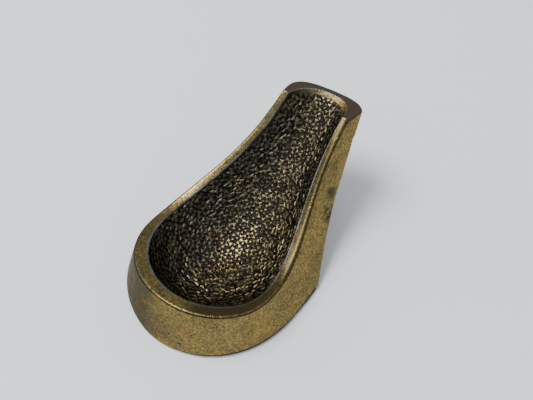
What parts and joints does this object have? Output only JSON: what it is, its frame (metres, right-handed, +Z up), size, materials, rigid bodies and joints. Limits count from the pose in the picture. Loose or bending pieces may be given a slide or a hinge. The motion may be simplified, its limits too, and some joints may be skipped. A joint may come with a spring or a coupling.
{
  "type": "tobacco pipe rest",
  "caption": "Cast brass pipe rest: a pear-shaped textured dish whose channelled neck leans back over a flat felt-padded foot.",
  "frame": {"origin": "bottom centre of the whole object's box, on the surface it stands on", "axes": "+Z up; +Y from the round bowl end towards the tip of the neck; the casting is symmetric about the YZ plane, apart from a tip that is slightly out of square"},
  "size_m": [0.0588, 0.0905, 0.0379],
  "materials": {
    "brass": "aged satin casting, dark patina in the dish's texture and on the cap facet",
    "felt": "short-pile black felt"
  },
  "bodies": {
    "root": {"cast_body": "brass", "felt_pad": "felt"}
  },
  "joints": []
}
